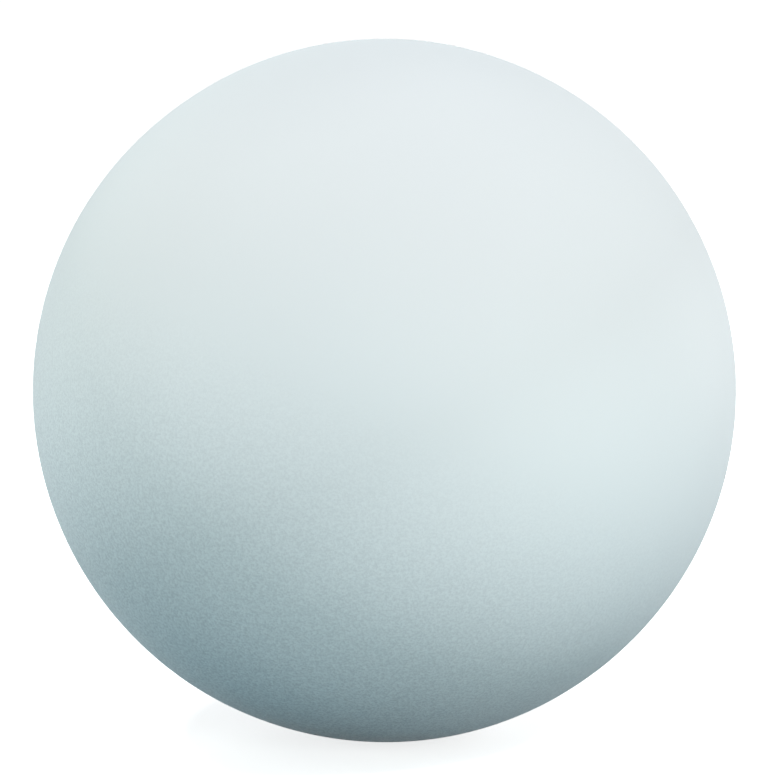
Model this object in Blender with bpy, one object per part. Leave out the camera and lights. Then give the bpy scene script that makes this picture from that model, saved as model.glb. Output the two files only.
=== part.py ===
"""A solid ball of moulded polystyrene foam, as used for crafts and decorations.

The ball is one piece: foam beads are fused in a closed mould into a single solid with no core, hole or
insert. Its frame has the origin at the ball's centre, with +Z up. Run it with
blender --background --python part.py, or from Blender's text editor.
"""

import bpy

# Driving dimension, in metres
BALL_DIAMETER = 0.100

# A ring of facets is a multiple of four, and there are half as many rings, so corners of the facets lie
# on all six outermost points and the solid measures its full diameter along X, Y and Z.
FACETS_AROUND = 96
RINGS = FACETS_AROUND // 2

# Finish of the bare foam skin: a cool white with a soft satin sheen. The colour is linear RGBA.
FOAM_COLOUR = (0.787, 0.855, 0.871, 1.0)
FOAM_ROUGHNESS = 0.6
FOAM_METALLIC = 0.0


def clear_scene():
    """Removes what the startup scene holds."""
    for obj in list(bpy.data.objects):
        bpy.data.objects.remove(obj, do_unlink=True)


def make_collection(name):
    """Adds a collection to the scene for the object's parts."""
    collection = bpy.data.collections.new(name)
    bpy.context.scene.collection.children.link(collection)
    return collection


def make_foam_material():
    """The matt white skin of fused polystyrene beads."""
    material = bpy.data.materials.new("polystyrene_foam")
    material.use_nodes = True
    shader = material.node_tree.nodes["Principled BSDF"]
    shader.inputs["Base Color"].default_value = FOAM_COLOUR
    shader.inputs["Roughness"].default_value = FOAM_ROUGHNESS
    shader.inputs["Metallic"].default_value = FOAM_METALLIC
    material.diffuse_color = FOAM_COLOUR
    return material


def make_ball(collection, material):
    """The moulded ball, centred on the origin, with its poles on the Z axis."""
    bpy.ops.mesh.primitive_uv_sphere_add(
        segments=FACETS_AROUND,
        ring_count=RINGS,
        radius=BALL_DIAMETER / 2,
        location=(0.0, 0.0, 0.0),
    )
    ball = bpy.context.active_object
    ball.name = "ball"
    ball.data.name = "ball"
    ball.data.shade_smooth()
    ball.data.materials.append(material)
    for holder in list(ball.users_collection):
        holder.objects.unlink(ball)
    collection.objects.link(ball)
    return ball


def main():
    clear_scene()
    collection = make_collection("polystyrene_ball")
    make_ball(collection, make_foam_material())


main()
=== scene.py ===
"""The look of a craft ball of expanded polystyrene: its moulded foam skin, its studio and its camera.

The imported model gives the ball's size and place. The ball shown here is a finer surface of that same solid,
with the faint unevenness that a moulded foam ball has, in a white foam of fine fused beads.
"""

import logging
import math
from dataclasses import dataclass
from enum import Enum
from typing import Any

import bpy
import numpy as np
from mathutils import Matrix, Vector


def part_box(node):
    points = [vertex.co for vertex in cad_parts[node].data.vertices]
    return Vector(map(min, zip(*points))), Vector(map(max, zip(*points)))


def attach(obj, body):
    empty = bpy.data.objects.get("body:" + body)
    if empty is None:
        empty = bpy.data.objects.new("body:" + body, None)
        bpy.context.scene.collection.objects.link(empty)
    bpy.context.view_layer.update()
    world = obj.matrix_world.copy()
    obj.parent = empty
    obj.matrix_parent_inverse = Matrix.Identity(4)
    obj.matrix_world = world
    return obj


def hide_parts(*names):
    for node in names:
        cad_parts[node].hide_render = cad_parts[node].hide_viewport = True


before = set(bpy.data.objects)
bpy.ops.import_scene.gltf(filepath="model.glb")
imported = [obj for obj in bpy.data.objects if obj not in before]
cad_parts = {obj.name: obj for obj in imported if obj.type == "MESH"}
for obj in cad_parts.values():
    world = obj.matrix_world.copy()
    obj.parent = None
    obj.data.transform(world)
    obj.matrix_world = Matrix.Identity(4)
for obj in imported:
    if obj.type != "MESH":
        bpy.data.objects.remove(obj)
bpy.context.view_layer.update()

LOG = logging.getLogger("polystyrene_ball")
MM = 0.001

# The photograph's frame, and the ball's circle in it, in pixels
PHOTO_WIDTH_PX = 769
PHOTO_HEIGHT_PX = 779
BALL_CENTRE_PX = (384.4, 390.4)
BALL_RADIUS_PX = 351.8


def linear(hex_colour: str) -> tuple[float, float, float, float]:
    """Turns an sRGB hex colour into linear light.

    Args:
        hex_colour: six hex digits after a hash sign.

    Returns:
        Linear red, green and blue, and an alpha of one.
    """
    levels = [int(hex_colour[i : i + 2], 16) / 255 for i in (1, 3, 5)]
    red, green, blue = (v / 12.92 if v <= 0.04045 else ((v + 0.055) / 1.055) ** 2.4 for v in levels)
    return red, green, blue, 1.0


def add_node(tree: bpy.types.NodeTree, kind: str, inputs: dict[Any, Any], **settings: Any) -> bpy.types.Node:
    """Adds a shader node with its settings, values and links.

    Args:
        tree: the node tree that takes the node.
        kind: the node's type name.
        inputs: for each input's name or number, a value or the output socket that feeds it.
        **settings: the node's own properties.

    Returns:
        The new node.
    """
    node = tree.nodes.new(kind)
    for name, value in settings.items():
        setattr(node, name, value)
    for name, value in inputs.items():
        if isinstance(value, bpy.types.NodeSocket):
            tree.links.new(value, node.inputs[name])
        else:
            node.inputs[name].default_value = value
    return node


def empty_tree(owner: bpy.types.Material | bpy.types.World) -> bpy.types.NodeTree:
    """Turns on an owner's nodes and clears them.

    Args:
        owner: a material or a world.

    Returns:
        Its empty node tree.
    """
    owner.use_nodes = True
    owner.node_tree.nodes.clear()
    return owner.node_tree


def seen_directly(tree: bpy.types.NodeTree) -> bpy.types.NodeSocket:
    """Adds a switch between what the eye sees, also in a gloss or a glass, and what lights the part.

    Args:
        tree: the node tree that takes the switch.

    Returns:
        An output that is one for camera, glossy and transmission rays, and zero for others.
    """
    path = add_node(tree, "ShaderNodeLightPath", {}).outputs
    mirrored = add_node(
        tree,
        "ShaderNodeMath",
        {0: path["Is Glossy Ray"], 1: path["Is Transmission Ray"]},
        operation="MAXIMUM",
    )
    either = add_node(
        tree,
        "ShaderNodeMath",
        {0: path["Is Camera Ray"], 1: mirrored.outputs[0]},
        operation="MAXIMUM",
    )
    return either.outputs[0]


@dataclass(frozen=True)
class ExpandedPolystyrene:
    """Expanded polystyrene foam, steam-moulded from fine beads in a closed mould.

    Each bead is a froth of thin clear walls that scatters all light, so the foam is a cool white. The mould
    presses the outer beads into a thin skin, which gives a soft, weak satin. Crumbs of torn and crushed bead
    walls lie on it, some paler and some darker, and give a fine salt-and-pepper grain. The crumbs' colour
    grain and the relief grow stronger towards the low left, where the shade falls. The stronger colour grain
    there is painted shade grain, standing in for the relief that grazing light shows in the shade, and it
    fades out on the lit side.

    Attributes:
        pale_colour: the palest crumbs.
        dark_colour: the darkest crumbs. Halfway between the two is the foam's own cool white.
        smooth_roughness: roughness of the palest, best pressed spots.
        crumbled_roughness: roughness of the darkest, open spots.
        refraction: the index of refraction of the skin, which is low because foam is mostly air.
        bead_pitch: distance between neighbouring beads, in metres.
        bead_rise: how far a bead stands over its borders, in metres.
        crumb_pitch: size of the largest crumbs, in metres, a little coarser than real ones so that they show.
        crumb_sizes: how many sizes of finer crumbs there are, each half the last.
        crumb_share: how strong each finer size is, as a share of the one before.
        crumb_spread: how far the crumbs' pattern goes from its middle value of a half to the palest.
        crumb_rise: how far the palest crumbs stand over the darkest, in metres.
        shaded_grain_side: direction from the ball's centre to the middle of the shaded side, where the
            painted shade grain and the relief are strongest.
        faint_grain_at: how far along that direction the colour grain is all gone and the relief is at its
            weakest, in metres.
        full_grain_at: how far along that direction the painted shade grain and the relief are at full
            strength, in metres.
        faint_side_relief: share of the relief that is left on the lit side.
    """

    pale_colour: str = "#f6ffff"
    dark_colour: str = "#d3dbdd"
    smooth_roughness: float = 0.5
    crumbled_roughness: float = 0.7
    refraction: float = 1.2
    bead_pitch: float = 0.85 * MM
    bead_rise: float = 0.02 * MM
    crumb_pitch: float = 0.38 * MM
    crumb_sizes: float = 2.0
    crumb_share: float = 0.9
    crumb_spread: float = 0.13
    crumb_rise: float = 0.02 * MM
    shaded_grain_side: tuple[float, float, float] = (-0.4, 0.0, -0.92)
    faint_grain_at: float = -5 * MM
    full_grain_at: float = 45 * MM
    faint_side_relief: float = 0.25

    def shade_side_grain(self, tree: bpy.types.NodeTree, place: bpy.types.NodeSocket) -> bpy.types.NodeSocket:
        """Adds the share of painted shade grain and of full relief, from zero to one towards the shaded side.

        Args:
            tree: the material's node tree.
            place: object coordinates, in metres.

        Returns:
            The output that holds the share.
        """
        along = add_node(
            tree,
            "ShaderNodeVectorMath",
            {0: place, 1: Vector(self.shaded_grain_side).normalized()},
            operation="DOT_PRODUCT",
        )
        share = add_node(
            tree,
            "ShaderNodeMapRange",
            {
                "Value": along.outputs["Value"],
                "From Min": self.faint_grain_at,
                "From Max": self.full_grain_at,
            },
        )
        return share.outputs["Result"]

    def relief(
        self,
        tree: bpy.types.NodeTree,
        place: bpy.types.NodeSocket,
        crumbs: bpy.types.NodeSocket,
        shade_grain_share: bpy.types.NodeSocket,
    ) -> bpy.types.NodeSocket:
        """Adds the relief of beads and crumbs, whose height is worked out in metres.

        The height is the crumbs' pattern times the crumbs' rise, less the beads' rise times the distance to
        the nearest bead's middle, as a share of the beads' pitch.

        Args:
            tree: the material's node tree.
            place: object coordinates, in metres.
            crumbs: the crumbs' pattern.
            shade_grain_share: the share of painted shade grain and of full relief.

        Returns:
            The output that holds the surface's normal.
        """
        beads = add_node(tree, "ShaderNodeTexVoronoi", {"Vector": place, "Scale": 1 / self.bead_pitch})
        crumb_height = add_node(tree, "ShaderNodeMath", {0: crumbs, 1: self.crumb_rise}, operation="MULTIPLY")
        height = add_node(
            tree,
            "ShaderNodeMath",
            {0: beads.outputs["Distance"], 1: -self.bead_rise, 2: crumb_height.outputs[0]},
            operation="MULTIPLY_ADD",
        )
        share = add_node(tree, "ShaderNodeMapRange", {"Value": shade_grain_share, "To Min": self.faint_side_relief})
        bump = add_node(
            tree,
            "ShaderNodeBump",
            {"Height": height.outputs[0], "Distance": 1.0, "Strength": share.outputs["Result"]},
        )
        return bump.outputs["Normal"]

    def material(self) -> bpy.types.Material:
        """Builds the foam's material.

        Returns:
            A material that reads object coordinates in metres.
        """
        material = bpy.data.materials.new("expanded_polystyrene_moulded")
        tree = empty_tree(material)
        place = add_node(tree, "ShaderNodeTexCoord", {}).outputs["Object"]
        crumbs = add_node(
            tree,
            "ShaderNodeTexNoise",
            {
                "Vector": place,
                "Scale": 1 / self.crumb_pitch,
                "Detail": self.crumb_sizes,
                "Roughness": self.crumb_share,
            },
        ).outputs["Fac"]
        shade_grain_share = self.shade_side_grain(tree, place)
        centred = add_node(
            tree,
            "ShaderNodeMapRange",
            {
                "Value": crumbs,
                "From Min": 0.5 - self.crumb_spread,
                "From Max": 0.5 + self.crumb_spread,
                "To Min": -0.5,
                "To Max": 0.5,
            },
        )
        # Scaling the crumbs' colour grain by that share paints it as shade grain. It is strong where the
        # shade falls low on the left and gone on the lit side, where the colour stays the foam's even cool
        # white.
        paleness = add_node(
            tree,
            "ShaderNodeMath",
            {0: centred.outputs[0], 1: shade_grain_share, 2: 0.5},
            operation="MULTIPLY_ADD",
        )
        colour = add_node(
            tree,
            "ShaderNodeMix",
            {0: paleness.outputs[0], 6: linear(self.dark_colour), 7: linear(self.pale_colour)},
            data_type="RGBA",
        )
        roughness = add_node(
            tree,
            "ShaderNodeMapRange",
            {
                "Value": paleness.outputs[0],
                "To Min": self.crumbled_roughness,
                "To Max": self.smooth_roughness,
            },
        )
        shader = add_node(
            tree,
            "ShaderNodeBsdfPrincipled",
            {
                "Base Color": colour.outputs[2],
                "Roughness": roughness.outputs["Result"],
                "IOR": self.refraction,
                "Normal": self.relief(tree, place, crumbs, shade_grain_share),
            },
        )
        add_node(tree, "ShaderNodeOutputMaterial", {"Surface": shader.outputs["BSDF"]})
        material.diffuse_color = linear(self.pale_colour)
        return material


@dataclass(frozen=True)
class MattPaper:
    """Matt white background paper, which shows as white to the eye and still takes the ball's shadow.

    Attributes:
        seen_colour: the paper to the eye, as the lamps light it.
        thrown_colour: the dimmer, cooler colour that it has for the light that it throws back on the ball.
        near_lift: glow seen by the eye close to the ball, which the shadow lies over.
        near_reach: distance from the ball's foot within which only the near glow shows, in metres.
        far_reach: distance from the ball's foot beyond which the paper is plain white, in metres.
    """

    seen_colour: str = "#e6e6e6"
    thrown_colour: str = "#1c596b"
    near_lift: float = 0.75
    near_reach: float = 0.06
    far_reach: float = 0.30

    def material(self, foot: Vector) -> bpy.types.Material:
        """Builds the paper's material.

        Args:
            foot: the point of the paper that the ball stands on.

        Returns:
            A matt material with a glow that only the eye sees.
        """
        material = bpy.data.materials.new("background_paper_matt")
        tree = empty_tree(material)
        place = add_node(tree, "ShaderNodeTexCoord", {}).outputs["Object"]
        apart = add_node(tree, "ShaderNodeVectorMath", {0: place, 1: foot}, operation="DISTANCE")
        lift = add_node(
            tree,
            "ShaderNodeMapRange",
            {
                "Value": apart.outputs["Value"],
                "From Min": self.near_reach,
                "From Max": self.far_reach,
                "To Min": self.near_lift,
                "To Max": 1.0,
            },
            interpolation_type="SMOOTHSTEP",
        )
        eye = seen_directly(tree)
        glow = add_node(tree, "ShaderNodeMath", {0: lift.outputs["Result"], 1: eye}, operation="MULTIPLY")
        colour = add_node(
            tree,
            "ShaderNodeMix",
            {0: eye, 6: linear(self.thrown_colour), 7: linear(self.seen_colour)},
            data_type="RGBA",
        )
        paper = add_node(
            tree,
            "ShaderNodeBsdfPrincipled",
            {
                "Base Color": colour.outputs[2],
                "Roughness": 1.0,
                "Specular IOR Level": 0.0,
                "Emission Color": linear("#ffffff"),
                "Emission Strength": glow.outputs[0],
            },
        )
        add_node(tree, "ShaderNodeOutputMaterial", {"Surface": paper.outputs["BSDF"]})
        return material


class CubeSide(Enum):
    """The sides of a cube, each as the number of its axis and the side's sign on it."""

    RIGHT = (0, 1)
    LEFT = (0, -1)
    BACK = (1, 1)
    FRONT = (1, -1)
    TOP = (2, 1)
    BOTTOM = (2, -1)


@dataclass
class MouldedBall:
    """The foam ball, as a cube of square grids blown up to a sphere, with a faint unevenness.

    Attributes:
        node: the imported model's node that this ball stands for.
        radius: from the centre to the skin, in metres.
        centre: the ball's centre.
        divisions: squares along each edge of the cube.
        swell: scale of the broad unevenness of the mould and of shrinkage, in metres.
        swell_length: the shortest distance from swell to swell, in metres.
        swell_stretch: the longest such distance, as a multiple of the shortest.
        swell_waves: number of waves that the unevenness is summed from.
        dome_pitch: distance between neighbouring clumps of beads, in metres.
        dome_scatter: how far a clump lies from its place in the spiral, as a share of the pitch.
        dome_rise: how far a clump stands over its edges, in metres.
        batches: number of parts in which the points look for their clump, which saves memory.
        seed: starts the random directions and places.
    """

    node: str
    radius: float
    centre: Vector
    divisions: int = 128
    swell: float = 0.03 * MM
    swell_length: float = 14 * MM
    swell_stretch: float = 4.0
    swell_waves: int = 40
    dome_pitch: float = 2.6 * MM
    dome_scatter: float = 0.22
    dome_rise: float = 0.006 * MM
    batches: int = 40
    seed: int = 7

    @classmethod
    def from_frame(cls, node: str) -> "MouldedBall":
        """Takes the ball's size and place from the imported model.

        Args:
            node: the name of the ball's node.

        Returns:
            A ball of that size, there.
        """
        low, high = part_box(node)
        return cls(node=node, radius=(high.z - low.z) / 2, centre=(low + high) / 2)

    def lattice(self) -> tuple[np.ndarray, np.ndarray]:
        """Works out the cube's grid, with each point on an edge or a corner shared by its sides.

        Each side's squares have whole-number corners (i, j) on the side's two other axes. The corners of all
        six sides are merged where their three whole numbers are equal, so the cube is closed.

        Returns:
            The points' whole-number places, and each square's four point numbers, turning outwards.
        """
        count = self.divisions
        i, j = np.meshgrid(np.arange(count), np.arange(count), indexing="ij")
        around = np.array([(0, 0), (1, 0), (1, 1), (0, 1)])
        sides = []
        for side in CubeSide:
            axis, sign = side.value
            turn = around if sign > 0 else around[::-1]
            corners = np.empty((count * count, 4, 3), int)
            corners[..., axis] = count if sign > 0 else 0
            corners[..., (axis + 1) % 3] = i.reshape(-1, 1) + turn[:, 0]
            corners[..., (axis + 2) % 3] = j.reshape(-1, 1) + turn[:, 1]
            sides.append(corners)
        places, numbers = np.unique(np.concatenate(sides).reshape(-1, 3), axis=0, return_inverse=True)
        return places, numbers.reshape(-1, 4)

    def directions(self, places: np.ndarray) -> np.ndarray:
        """Blows the cube's points up to a sphere.

        A whole number i of n becomes tan(45 degrees times (2 i / n - 1)), which spaces the points evenly in
        angle along each side's middle, and the three together are made one long.

        Args:
            places: the points' whole-number places on the cube.

        Returns:
            Unit vectors from the ball's centre.
        """
        spread = np.tan(math.pi / 4 * (2 * places / self.divisions - 1))
        return spread / np.linalg.norm(spread, axis=1, keepdims=True)

    def swells(self, outward: np.ndarray, random: np.random.Generator) -> np.ndarray:
        """Works out the broad unevenness.

        The height is the swell times the mean of many cosine waves, times the square root of their number.
        The waves run through the ball in random directions, each with its own phase and length.

        Args:
            outward: unit vectors from the ball's centre.
            random: draws the waves.

        Returns:
            Heights over the sphere, in metres.
        """
        heading = random.normal(size=(self.swell_waves, 3))
        heading /= np.linalg.norm(heading, axis=1, keepdims=True)
        length = self.swell_length * random.uniform(1, self.swell_stretch, self.swell_waves)
        phase = random.uniform(0, 2 * math.pi, self.swell_waves)
        wave = np.cos(outward @ (heading * (2 * math.pi * self.radius / length)[:, None]).T + phase)
        return self.swell * wave.mean(1) * math.sqrt(self.swell_waves)

    def domes(self, outward: np.ndarray, random: np.random.Generator) -> np.ndarray:
        """Works out the slight bulge of each clump of beads.

        The clumps' middles are a sunflower spiral over the sphere, each moved at random by the scatter. The
        height is one less the square of the distance to the nearest middle over the pitch, times the rise.

        Args:
            outward: unit vectors from the ball's centre.
            random: draws the moves.

        Returns:
            Heights over the sphere, in metres.
        """
        count = int(4 * math.pi * self.radius**2 / self.dome_pitch**2)
        step = np.arange(count) + 0.5
        rise = 1 - 2 * step / count
        turn = step * math.pi * (3 - math.sqrt(5))
        flat = np.sqrt(1 - rise**2)
        middle = np.stack([flat * np.cos(turn), flat * np.sin(turn), rise], 1)
        middle += random.normal(scale=self.dome_scatter * self.dome_pitch / self.radius, size=middle.shape)
        middle /= np.linalg.norm(middle, axis=1, keepdims=True)
        parts = np.array_split(outward.astype(np.float32), self.batches)
        nearest = np.concatenate([(part @ middle.T.astype(np.float32)).max(1) for part in parts])
        apart = self.radius * np.sqrt(np.maximum(2 - 2 * nearest.astype(float), 0))
        return self.dome_rise * (1 - (apart / self.dome_pitch) ** 2)

    def build(self, finish: ExpandedPolystyrene) -> bpy.types.Object:
        """Builds the ball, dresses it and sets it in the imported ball's place.

        Args:
            finish: the foam.

        Returns:
            The ball's object.
        """
        random = np.random.default_rng(self.seed)
        places, squares = self.lattice()
        outward = self.directions(places)
        height = self.swells(outward, random) + self.domes(outward, random)
        points = np.array(self.centre) + outward * (self.radius + height)[:, None]
        mesh = bpy.data.meshes.new("moulded_ball")
        mesh.vertices.add(len(points))
        mesh.vertices.foreach_set("co", points.astype(np.float32).ravel())
        mesh.loops.add(squares.size)
        mesh.loops.foreach_set("vertex_index", squares.astype(np.int32).ravel())
        mesh.polygons.add(len(squares))
        mesh.polygons.foreach_set("loop_start", np.arange(0, squares.size, 4, dtype=np.int32))
        mesh.update(calc_edges=True)
        mesh.shade_smooth()
        mesh.materials.append(finish.material())
        ball = bpy.data.objects.new("moulded_ball", mesh)
        bpy.context.scene.collection.objects.link(ball)
        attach(ball, "root")
        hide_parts(self.node)
        return ball


def towards(azimuth: float, elevation: float) -> Vector:
    """Works out a direction from the ball to a lamp or the camera.

    Args:
        azimuth: degrees from the camera's side towards the right.
        elevation: degrees above the horizon.

    Returns:
        A unit vector.
    """
    turn = math.radians(azimuth)
    lift = math.radians(elevation)
    return Vector((math.sin(turn) * math.cos(lift), -math.cos(turn) * math.cos(lift), math.sin(lift)))


def aim(thing: bpy.types.Object, target: Vector) -> None:
    """Turns an object so that its own -Z points at a target."""
    thing.rotation_euler = (target - thing.location).to_track_quat("-Z", "Y").to_euler()


@dataclass(frozen=True)
class Softbox:
    """A square softbox that points at the ball.

    Attributes:
        name: where it stands.
        azimuth: degrees from the camera's side towards the right.
        elevation: degrees above the horizon.
        distance: from the ball's centre, in metres.
        side: length of its side, in metres.
        power: in watts.
        colour: of its light.
    """

    name: str
    azimuth: float
    elevation: float
    distance: float
    side: float
    power: float
    colour: str = "#ffffff"

    def place(self, target: Vector) -> bpy.types.Object:
        """Adds the softbox, aimed at a target.

        Args:
            target: the ball's centre.

        Returns:
            The softbox's lamp, which the camera doesn't see.
        """
        data = bpy.data.lights.new(self.name, "AREA")
        data.shape = "SQUARE"
        data.size = self.side
        data.energy = self.power
        data.color = linear(self.colour)[:3]
        lamp = bpy.data.objects.new(self.name, data)
        bpy.context.scene.collection.objects.link(lamp)
        lamp.location = target + towards(self.azimuth, self.elevation) * self.distance
        aim(lamp, target)
        lamp.visible_camera = False
        return lamp


@dataclass
class Studio:
    """A white paper floor, a few softboxes and a dim room.

    Attributes:
        target: the ball's centre.
        floor_height: height of the paper's surface.
        floor_radius: from the ball's foot to the paper's edge, in metres.
        floor_corners: number of corners on that edge.
        room_colour: the room's own light on the part.
        room_strength: how strong that light is, where one is white.
    """

    target: Vector
    floor_height: float
    floor_radius: float = 6.0
    floor_corners: int = 96
    room_colour: str = "#7bcbff"
    room_strength: float = 0.01

    def softboxes(self) -> list[Softbox]:
        """Lists the softboxes: three large ones above, and small ones close by for the lower half.

        Returns:
            The softboxes, each with its name, azimuth, elevation, distance, side, power and colour.
        """
        return [
            Softbox("key", 43, 45, 3.0, 0.3, 30.2, "#ffeff3"),
            Softbox("top_left", -84, 61, 3.0, 0.3, 33.5, "#f9fcff"),
            Softbox("top_back", 161, 65, 0.75, 0.3, 2.2, "#f5feff"),
            Softbox("front_right", 30, 1, 0.23, 0.09, 0.24, "#fcfffa"),
            Softbox("left", -58, 24, 0.12, 0.05, 0.011, "#ffead7"),
            Softbox("right", 109, 4, 0.16, 0.06, 0.059, "#fffdfb"),
            Softbox("front_left", -60, 1, 0.25, 0.1, 0.18, "#f3fffe"),
            Softbox("back", -178, 3, 0.28, 0.1, 0.32, "#ffffff"),
        ]

    def floor(self, finish: MattPaper) -> bpy.types.Object:
        """Builds the paper floor, a flat disc whose points are radius times cosine and sine of the angle.

        Args:
            finish: the paper.

        Returns:
            The floor's object, which isn't part of the ball.
        """
        angle = np.linspace(0, 2 * math.pi, self.floor_corners, endpoint=False)
        ring = self.floor_radius * np.stack([np.cos(angle), np.sin(angle), np.zeros_like(angle)], 1)
        points = ring + np.array((self.target.x, self.target.y, self.floor_height))
        mesh = bpy.data.meshes.new("paper_floor")
        mesh.from_pydata(points.tolist(), [], [list(range(len(points)))])
        foot = Vector((self.target.x, self.target.y, self.floor_height))
        mesh.materials.append(finish.material(foot))
        paper = bpy.data.objects.new("paper_floor", mesh)
        bpy.context.scene.collection.objects.link(paper)
        return paper

    def room(self) -> bpy.types.World:
        """Builds the room: white to the eye, and dim to the part.

        Returns:
            The scene's world.
        """
        world = bpy.data.worlds.new("white_room")
        tree = empty_tree(world)
        dim = add_node(
            tree,
            "ShaderNodeBackground",
            {"Color": linear(self.room_colour), "Strength": self.room_strength},
        )
        white = add_node(tree, "ShaderNodeBackground", {"Color": linear("#ffffff"), "Strength": 1.0})
        both = add_node(
            tree,
            "ShaderNodeMixShader",
            {0: seen_directly(tree), 1: dim.outputs[0], 2: white.outputs[0]},
        )
        add_node(tree, "ShaderNodeOutputWorld", {"Surface": both.outputs[0]})
        bpy.context.scene.world = world
        return world

    def build(self) -> None:
        """Builds the floor, the room and the lamps."""
        self.floor(MattPaper())
        self.room()
        for softbox in self.softboxes():
            softbox.place(self.target)


@dataclass(frozen=True)
class PhotoCamera:
    """A camera with a long lens, close to level, that frames the ball as the photograph does.

    Attributes:
        lens_mm: focal length.
        sensor_mm: width of the sensor along the picture's long side.
        elevation: degrees that the camera looks down by.
    """

    lens_mm: float = 150.0
    sensor_mm: float = 36.0
    elevation: float = 8.0

    def build(self, target: Vector, radius: float) -> bpy.types.Object:
        """Adds the camera.

        A sphere's outline is a circle whose radius in the picture is the focal length times the tangent of
        the angle whose sine is the sphere's radius over its distance. That gives the distance.

        Args:
            target: the ball's centre.
            radius: the ball's radius, in metres.

        Returns:
            The camera's object, set as the scene's camera.
        """
        data = bpy.data.cameras.new("photo_camera")
        data.lens = self.lens_mm
        data.sensor_width = self.sensor_mm
        long_side = max(PHOTO_WIDTH_PX, PHOTO_HEIGHT_PX)
        focal_px = self.lens_mm / self.sensor_mm * long_side
        distance = radius / math.sin(math.atan(BALL_RADIUS_PX / focal_px))
        data.shift_x = (PHOTO_WIDTH_PX / 2 - BALL_CENTRE_PX[0]) / long_side
        data.shift_y = (BALL_CENTRE_PX[1] - PHOTO_HEIGHT_PX / 2) / long_side
        camera = bpy.data.objects.new("photo_camera", data)
        bpy.context.scene.collection.objects.link(camera)
        camera.location = target + towards(0, self.elevation) * distance
        aim(camera, target)
        bpy.context.scene.camera = camera
        return camera


def main() -> None:
    """Builds the ball, the studio and the camera, in that order."""
    logging.basicConfig(level=logging.INFO, format="%(message)s")
    bpy.context.scene.view_settings.view_transform = "Standard"
    ball = MouldedBall.from_frame("ball")
    piece = ball.build(ExpandedPolystyrene())
    LOG.info("%s: %d points, %d faces", piece.name, len(piece.data.vertices), len(piece.data.polygons))
    Studio(target=ball.centre, floor_height=ball.centre.z - ball.radius).build()
    LOG.info("studio: built")
    camera = PhotoCamera().build(ball.centre, ball.radius)
    LOG.info("%s: %.3f m from the ball", camera.name, (camera.location - ball.centre).length)


if __name__ == "__main__":
    main()
